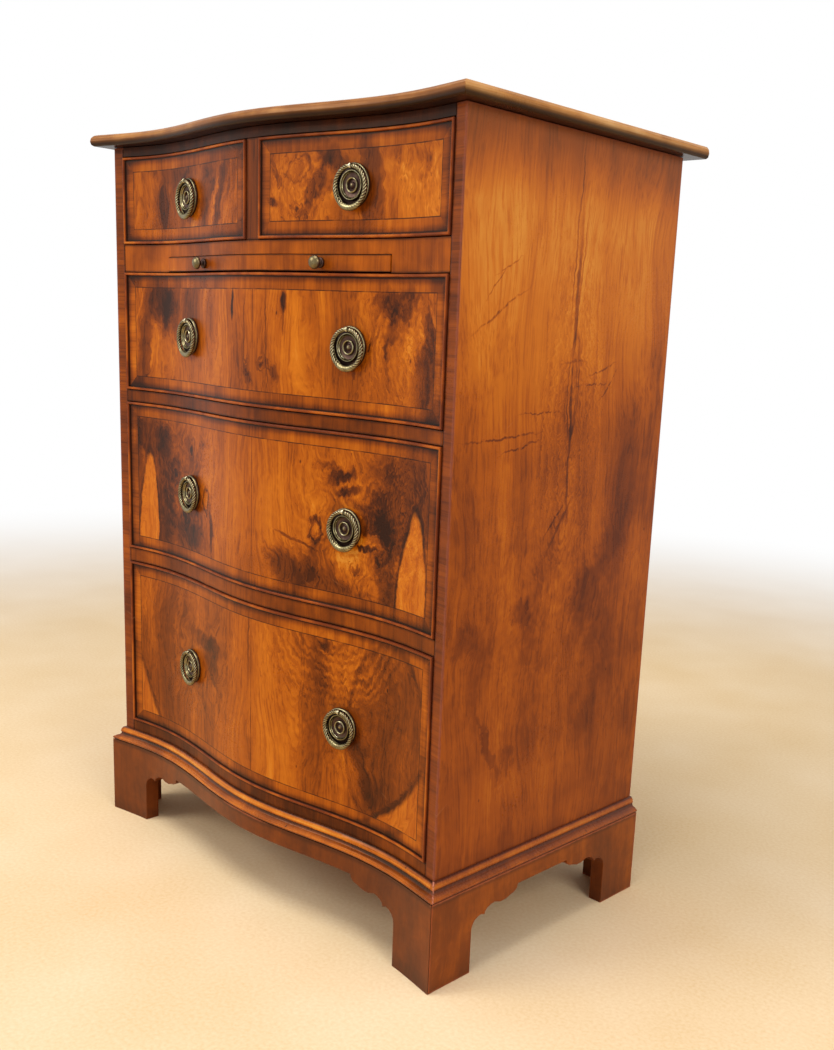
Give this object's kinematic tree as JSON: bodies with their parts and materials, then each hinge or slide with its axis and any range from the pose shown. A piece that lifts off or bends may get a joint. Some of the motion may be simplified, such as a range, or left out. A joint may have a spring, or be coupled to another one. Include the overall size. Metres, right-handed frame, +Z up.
{
  "type": "chest of drawers",
  "caption": "Serpentine-front chest in yew on bracket feet, with cockbeaded drawers, a brushing slide and brass ring pulls.",
  "frame": {"origin": "on the floor, under the middle of the overall box, which the top board sets", "axes": "+Z up; -Y is the serpentine front, from which the drawers pull out; +X is to the right as seen from the front"},
  "size_m": [0.5734, 0.3514, 0.788],
  "materials": {
    "yew_top": "polished yew veneer, faded on the edge",
    "yew_side": "polished yew veneer, vertical grain",
    "yew_rail": "polished yew, dark, cross grain",
    "yew_moulding": "polished yew moulding",
    "yew_plinth": "polished dark red-brown, worn at the corners",
    "yew_drawer_front": "polished figured yew veneer with crossbanding and stringing",
    "yew_slide": "polished yew",
    "oak_drawer_side": "bare oak",
    "oak_drawer_back": "bare oak",
    "ply_drawer_bottom": "bare thin board",
    "softwood_dust_board": "bare softwood",
    "softwood_back_panel": "stained softwood",
    "antique_brass_plate": "antique brass, dark in the hollows",
    "antique_brass_ring": "antique brass, bright where it is worn",
    "antique_brass_knob": "aged brass"
  },
  "bodies": {
    "carcase": {"top_board": "yew_top", "side_panel_left": "yew_side", "side_panel_right": "yew_side", "back_panel": "softwood_back_panel", "top_rail": "yew_rail", "upper_rail": "yew_rail", "middle_rail": "yew_rail", "bottom_board": "yew_rail", "slide_rail": "yew_rail", "slide_bearer": "softwood_dust_board", "short_drawer_divider": "yew_rail", "base_moulding": "yew_moulding", "plinth_front": "yew_plinth", "plinth_left": "yew_plinth", "plinth_right": "yew_plinth", "plinth_back": "yew_plinth"},
    "left_short_drawer": {"left_short_drawer_front": "yew_drawer_front", "left_short_drawer_side_left": "oak_drawer_side", "left_short_drawer_side_right": "oak_drawer_side", "left_short_drawer_back": "oak_drawer_back", "left_short_drawer_bottom": "ply_drawer_bottom", "left_short_pull_plate": "antique_brass_plate"},
    "left_short_ring": {"left_short_pull_ring": "antique_brass_ring"},
    "right_short_drawer": {"right_short_drawer_front": "yew_drawer_front", "right_short_drawer_side_left": "oak_drawer_side", "right_short_drawer_side_right": "oak_drawer_side", "right_short_drawer_back": "oak_drawer_back", "right_short_drawer_bottom": "ply_drawer_bottom", "right_short_pull_plate": "antique_brass_plate"},
    "right_short_ring": {"right_short_pull_ring": "antique_brass_ring"},
    "upper_long_drawer": {"upper_long_drawer_front": "yew_drawer_front", "upper_long_drawer_side_left": "oak_drawer_side", "upper_long_drawer_side_right": "oak_drawer_side", "upper_long_drawer_back": "oak_drawer_back", "upper_long_drawer_bottom": "ply_drawer_bottom", "upper_long_pull_plate_left": "antique_brass_plate", "upper_long_pull_plate_right": "antique_brass_plate"},
    "upper_long_left_ring": {"upper_long_pull_ring_left": "antique_brass_ring"},
    "upper_long_right_ring": {"upper_long_pull_ring_right": "antique_brass_ring"},
    "middle_long_drawer": {"middle_long_drawer_front": "yew_drawer_front", "middle_long_drawer_side_left": "oak_drawer_side", "middle_long_drawer_side_right": "oak_drawer_side", "middle_long_drawer_back": "oak_drawer_back", "middle_long_drawer_bottom": "ply_drawer_bottom", "middle_long_pull_plate_left": "antique_brass_plate", "middle_long_pull_plate_right": "antique_brass_plate"},
    "middle_long_left_ring": {"middle_long_pull_ring_left": "antique_brass_ring"},
    "middle_long_right_ring": {"middle_long_pull_ring_right": "antique_brass_ring"},
    "lower_long_drawer": {"lower_long_drawer_front": "yew_drawer_front", "lower_long_drawer_side_left": "oak_drawer_side", "lower_long_drawer_side_right": "oak_drawer_side", "lower_long_drawer_back": "oak_drawer_back", "lower_long_drawer_bottom": "ply_drawer_bottom", "lower_long_pull_plate_left": "antique_brass_plate", "lower_long_pull_plate_right": "antique_brass_plate"},
    "lower_long_left_ring": {"lower_long_pull_ring_left": "antique_brass_ring"},
    "lower_long_right_ring": {"lower_long_pull_ring_right": "antique_brass_ring"},
    "slide": {"brushing_slide": "yew_slide", "slide_knob_left": "antique_brass_knob", "slide_knob_right": "antique_brass_knob"}
  },
  "joints": [
    {"name": "left_short_drawer_slide", "type": "slide", "parent": "carcase", "child": "left_short_drawer", "axis": [0, -1, 0], "range_m": [0, 0.2]},
    {"name": "right_short_drawer_slide", "type": "slide", "parent": "carcase", "child": "right_short_drawer", "axis": [0, -1, 0], "range_m": [0, 0.2]},
    {"name": "upper_long_drawer_slide", "type": "slide", "parent": "carcase", "child": "upper_long_drawer", "axis": [0, -1, 0], "range_m": [0, 0.2]},
    {"name": "middle_long_drawer_slide", "type": "slide", "parent": "carcase", "child": "middle_long_drawer", "axis": [0, -1, 0], "range_m": [0, 0.2]},
    {"name": "lower_long_drawer_slide", "type": "slide", "parent": "carcase", "child": "lower_long_drawer", "axis": [0, -1, 0], "range_m": [0, 0.2]},
    {"name": "brushing_slide_pull", "type": "slide", "parent": "carcase", "child": "slide", "axis": [0, -1, 0], "range_m": [0, 0.19]},
    {"name": "left_short_ring_hinge", "type": "hinge", "parent": "left_short_drawer", "child": "left_short_ring", "pos_m": [-0.13082, -0.1498, 0.735], "axis": [-0.9913, 0.1318, 0], "range_deg": [0, 170]},
    {"name": "right_short_ring_hinge", "type": "hinge", "parent": "right_short_drawer", "child": "right_short_ring", "pos_m": [0.13082, -0.1498, 0.735], "axis": [-0.9913, -0.1318, 0], "range_deg": [0, 170]},
    {"name": "upper_long_left_ring_hinge", "type": "hinge", "parent": "upper_long_drawer", "child": "upper_long_left_ring", "pos_m": [-0.13082, -0.1498, 0.59525], "axis": [-0.9913, 0.1318, 0], "range_deg": [0, 170]},
    {"name": "upper_long_right_ring_hinge", "type": "hinge", "parent": "upper_long_drawer", "child": "upper_long_right_ring", "pos_m": [0.13082, -0.1498, 0.59525], "axis": [-0.9913, -0.1318, 0], "range_deg": [0, 170]},
    {"name": "middle_long_left_ring_hinge", "type": "hinge", "parent": "middle_long_drawer", "child": "middle_long_left_ring", "pos_m": [-0.13082, -0.1498, 0.42865], "axis": [-0.9913, 0.1318, 0], "range_deg": [0, 170]},
    {"name": "middle_long_right_ring_hinge", "type": "hinge", "parent": "middle_long_drawer", "child": "middle_long_right_ring", "pos_m": [0.13082, -0.1498, 0.42865], "axis": [-0.9913, -0.1318, 0], "range_deg": [0, 170]},
    {"name": "lower_long_left_ring_hinge", "type": "hinge", "parent": "lower_long_drawer", "child": "lower_long_left_ring", "pos_m": [-0.13082, -0.1498, 0.23195], "axis": [-0.9913, 0.1318, 0], "range_deg": [0, 170]},
    {"name": "lower_long_right_ring_hinge", "type": "hinge", "parent": "lower_long_drawer", "child": "lower_long_right_ring", "pos_m": [0.13082, -0.1498, 0.23195], "axis": [-0.9913, -0.1318, 0], "range_deg": [0, 170]}
  ]
}
